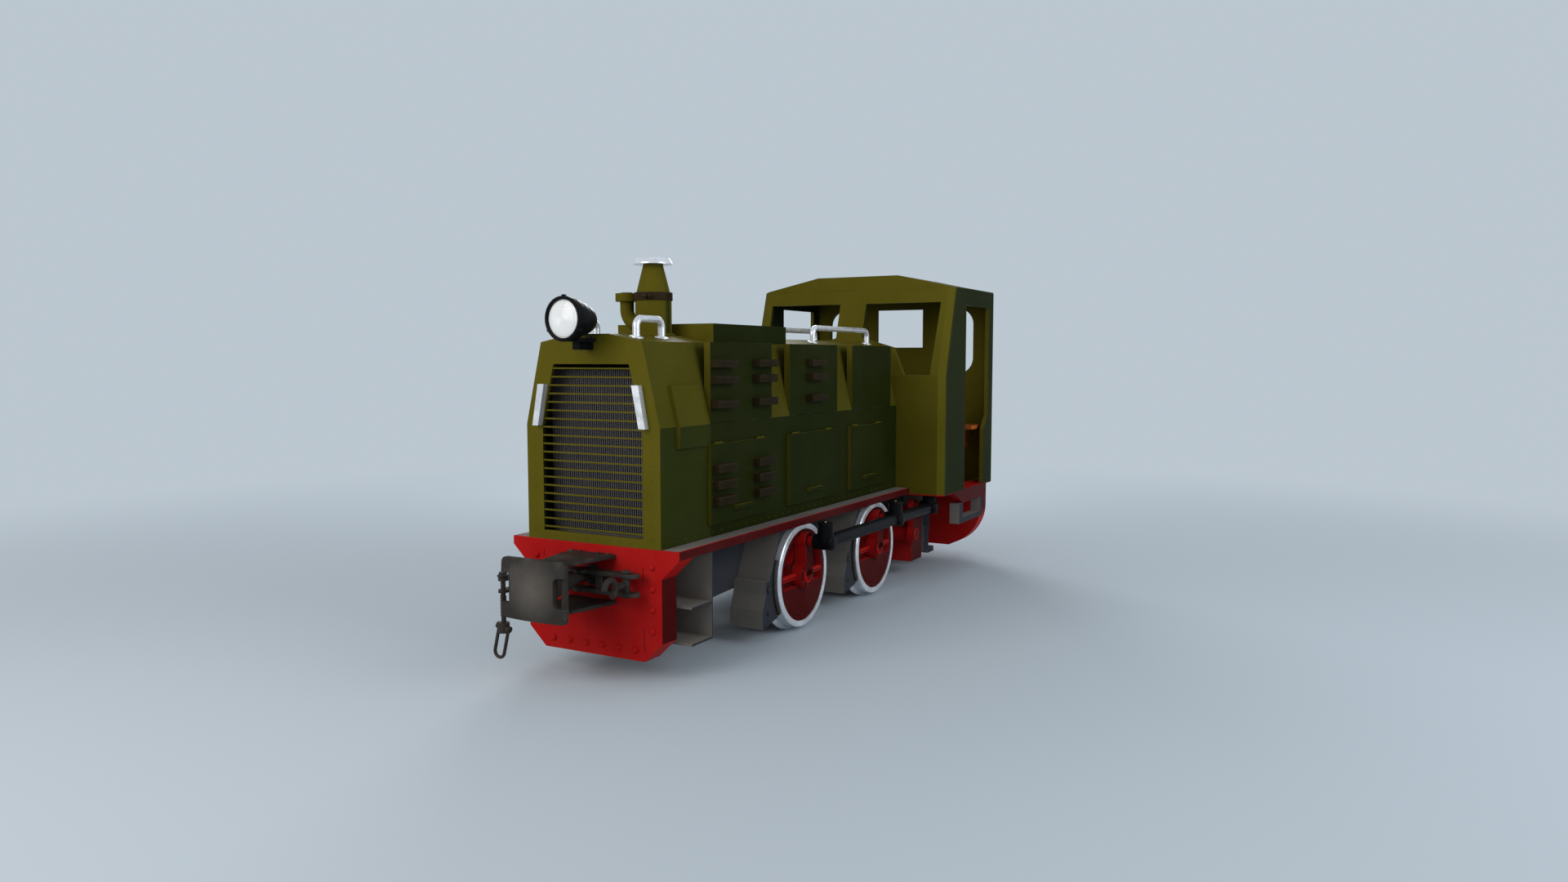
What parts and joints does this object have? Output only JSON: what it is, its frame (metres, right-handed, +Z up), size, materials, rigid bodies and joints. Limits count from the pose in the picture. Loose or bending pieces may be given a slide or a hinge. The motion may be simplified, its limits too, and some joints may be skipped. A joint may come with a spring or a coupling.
{
  "type": "diesel locomotive",
  "caption": "Narrow-gauge diesel locomotive with long hood, open-sided rear cab, side rods driven by a jackshaft, and centre buffers with equalising levers.",
  "frame": {"origin": "on the floor under the middle of the locomotive, level with the lowest point of the wheel flanges", "axes": "+X towards the hood end, +Y to the left side, +Z up"},
  "size_m": [5.8938, 1.865, 2.6478],
  "materials": {
    "olive_paint": "satin olive green paint",
    "green_paint": "satin dark green paint",
    "red_paint": "gloss red paint",
    "frame_grey": "dark grey paint, matt",
    "louvre_brown": "dark brown paint, matt",
    "polished_steel": "polished steel",
    "black_enamel": "black enamel",
    "coupler_iron": "bare forged iron, worn",
    "radiator_core": "dull grey metal",
    "seat_wood": "varnished wood",
    "lens_glass": "frosted lens glass",
    "brass_fittings": "dull brass",
    "black_rubber": "matt black rubber",
    "engine_grey": "grey machinery paint"
  },
  "bodies": {
    "root": {"frame": "frame_grey", "front_headstock": "red_paint", "rear_headstock": "red_paint", "footplate": "frame_grey", "footplate_edges": "red_paint", "steps": "frame_grey", "brake_blocks": "frame_grey", "sandboxes": "red_paint", "hood_nose": "olive_paint", "hood_shell": "green_paint", "side_panels": "green_paint", "filter_housing": "green_paint", "grille_slats": "olive_paint", "radiator": "radiator_core", "trim_bars": "polished_steel", "upper_louvres": "louvre_brown", "exhaust_stack": "olive_paint", "stack_cap": "polished_steel", "intake_elbow": "olive_paint", "headlight": "black_enamel", "hood_handrails": "polished_steel", "engine": "engine_grey", "cab_front": "olive_paint", "cab_left_side": "green_paint", "cab_right_side": "green_paint", "cab_rear": "olive_paint", "cab_roof": "olive_paint", "cab_floor": "red_paint", "driver_seat": "seat_wood", "control_desk": "engine_grey", "front_buffer": "coupler_iron", "rear_buffer": "coupler_iron"},
    "front_lever": {"front_lever": "coupler_iron", "front_screw_link": "coupler_iron"},
    "rear_lever": {"rear_lever": "coupler_iron", "rear_screw_link": "coupler_iron"},
    "front_wheelset": {"front_wheelset": "red_paint", "front_tyres": "polished_steel"},
    "rear_wheelset": {"rear_wheelset": "red_paint", "rear_tyres": "polished_steel"},
    "jackshaft": {"jackshaft": "red_paint"},
    "left_side_rod": {"left_side_rod": "black_enamel"},
    "right_side_rod": {"right_side_rod": "black_enamel"},
    "left_flap_1": {"left_flap_1": "green_paint"},
    "left_flap_2": {"left_flap_2": "green_paint"},
    "left_flap_3": {"left_flap_3": "green_paint"},
    "right_flap_1": {"right_flap_1": "green_paint"},
    "right_flap_2": {"right_flap_2": "green_paint"},
    "right_flap_3": {"right_flap_3": "green_paint"}
  },
  "joints": [
    {"name": "front_wheels_turn", "type": "hinge", "parent": "root", "child": "front_wheelset", "pos_m": [0.809, 0, 0.3955], "axis": [0, 1, 0], "continuous": true},
    {"name": "rear_wheels_turn", "type": "hinge", "parent": "root", "child": "rear_wheelset", "pos_m": [-0.445, 0, 0.3955], "axis": [0, 1, 0], "continuous": true},
    {"name": "jackshaft_turn", "type": "hinge", "parent": "root", "child": "jackshaft", "pos_m": [-1.202, 0, 0.3955], "axis": [0, 1, 0], "continuous": true},
    {"name": "left_rod_pin", "type": "hinge", "parent": "front_wheelset", "child": "left_side_rod", "pos_m": [0.809, 0.77, 0.6395], "axis": [0, 1, 0], "continuous": true},
    {"name": "right_rod_pin", "type": "hinge", "parent": "front_wheelset", "child": "right_side_rod", "pos_m": [1.053, -0.77, 0.3955], "axis": [0, 1, 0], "continuous": true},
    {"name": "left_flap_1_hinge", "type": "hinge", "parent": "root", "child": "left_flap_1", "pos_m": [1.527, 0.509, 1.393], "axis": [1, 0, 0], "range_deg": [0, 95]},
    {"name": "left_flap_2_hinge", "type": "hinge", "parent": "root", "child": "left_flap_2", "pos_m": [0.5095, 0.509, 1.393], "axis": [1, 0, 0], "range_deg": [0, 95]},
    {"name": "left_flap_3_hinge", "type": "hinge", "parent": "root", "child": "left_flap_3", "pos_m": [-0.452, 0.509, 1.393], "axis": [1, 0, 0], "range_deg": [0, 95]},
    {"name": "right_flap_1_hinge", "type": "hinge", "parent": "root", "child": "right_flap_1", "pos_m": [1.527, -0.509, 1.393], "axis": [-1, 0, 0], "range_deg": [0, 95]},
    {"name": "right_flap_2_hinge", "type": "hinge", "parent": "root", "child": "right_flap_2", "pos_m": [0.5095, -0.509, 1.393], "axis": [-1, 0, 0], "range_deg": [0, 95]},
    {"name": "right_flap_3_hinge", "type": "hinge", "parent": "root", "child": "right_flap_3", "pos_m": [-0.452, -0.509, 1.393], "axis": [-1, 0, 0], "range_deg": [0, 95]},
    {"name": "front_lever_pivot", "type": "hinge", "parent": "root", "child": "front_lever", "pos_m": [2.482, 0, 0.625], "axis": [0, 0, 1], "range_deg": [-5, 5]},
    {"name": "rear_lever_pivot", "type": "hinge", "parent": "root", "child": "rear_lever", "pos_m": [-2.482, 0, 0.625], "axis": [0, 0, 1], "range_deg": [-5, 5]}
  ],
  "couplings": [
    {"joint": "rear_wheels_turn", "follows": "front_wheels_turn", "ratio": 1},
    {"joint": "jackshaft_turn", "follows": "front_wheels_turn", "ratio": 1},
    {"joint": "left_rod_pin", "follows": "front_wheels_turn", "ratio": -1},
    {"joint": "right_rod_pin", "follows": "front_wheels_turn", "ratio": -1}
  ]
}
